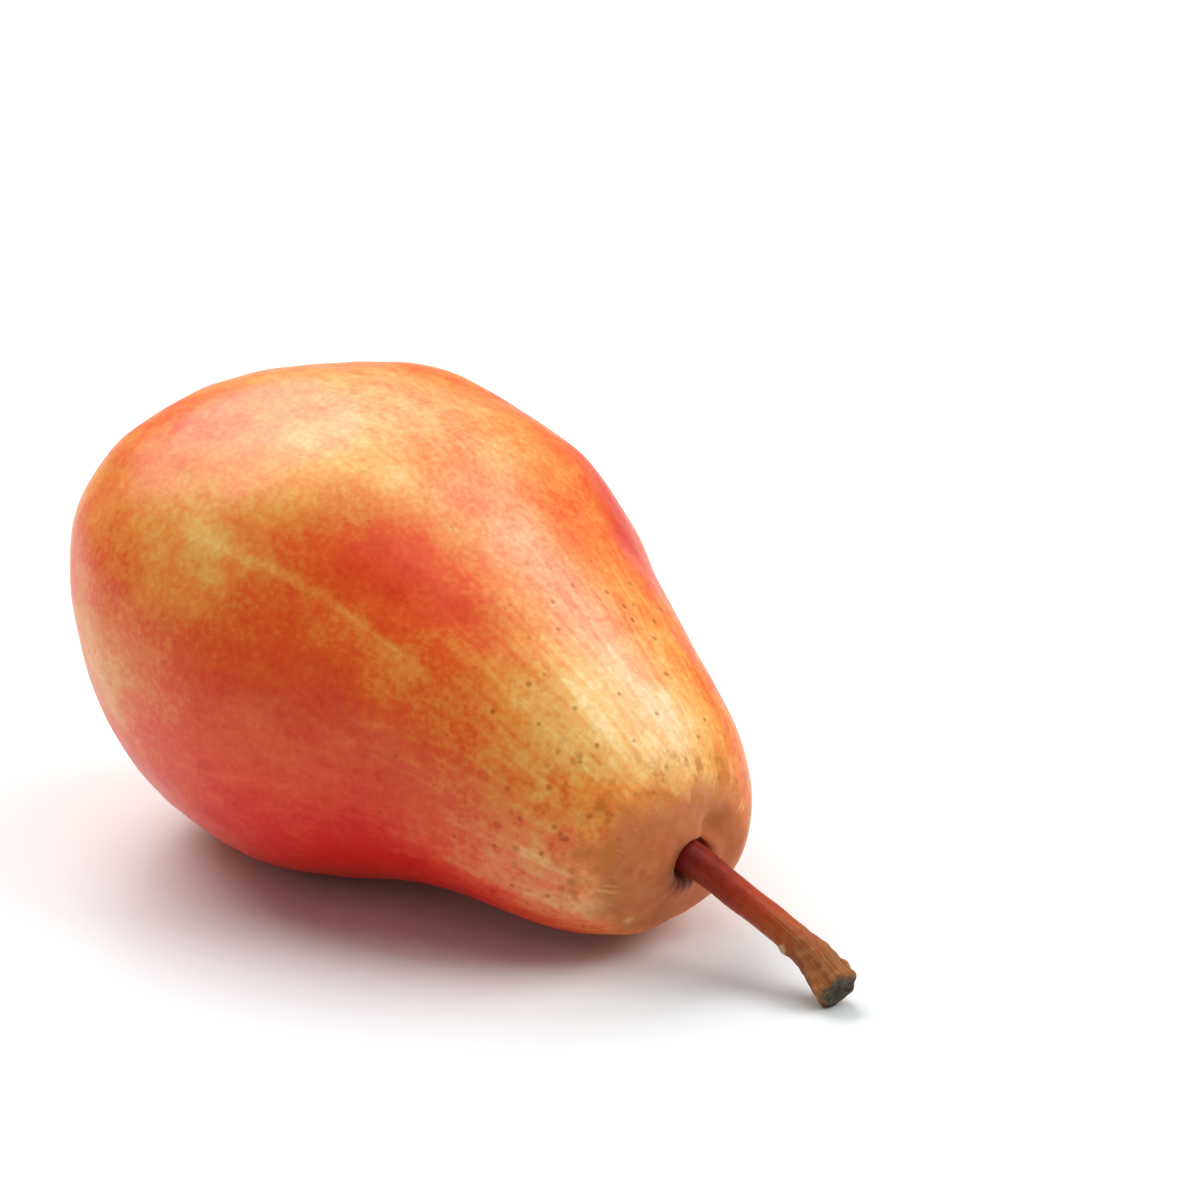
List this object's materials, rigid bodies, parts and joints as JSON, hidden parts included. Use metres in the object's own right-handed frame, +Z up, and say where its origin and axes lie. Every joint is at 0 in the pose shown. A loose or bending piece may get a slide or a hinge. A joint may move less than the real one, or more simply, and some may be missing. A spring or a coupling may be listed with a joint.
{
  "type": "pear",
  "caption": "Whole ripe pear lying on its side, with a bent neck, a woody stem and a dried calyx, resting on a small flat spot.",
  "frame": {"origin": "bottom centre of the lying pear's box, on the surface that it rests on", "axes": "+X along the fruit towards the tip of its stem, +Y across it, +Z up from the surface"},
  "size_m": [0.1144, 0.0722, 0.0609],
  "materials": {
    "skin": "satin waxy fruit skin, red and orange blush over yellow",
    "stem": "smooth red-brown bark, rough grey-brown at the cut end",
    "calyx": "dry, matt brown"
  },
  "bodies": {
    "root": {"fruit": "skin", "stem": "stem", "calyx": "calyx"}
  },
  "joints": []
}
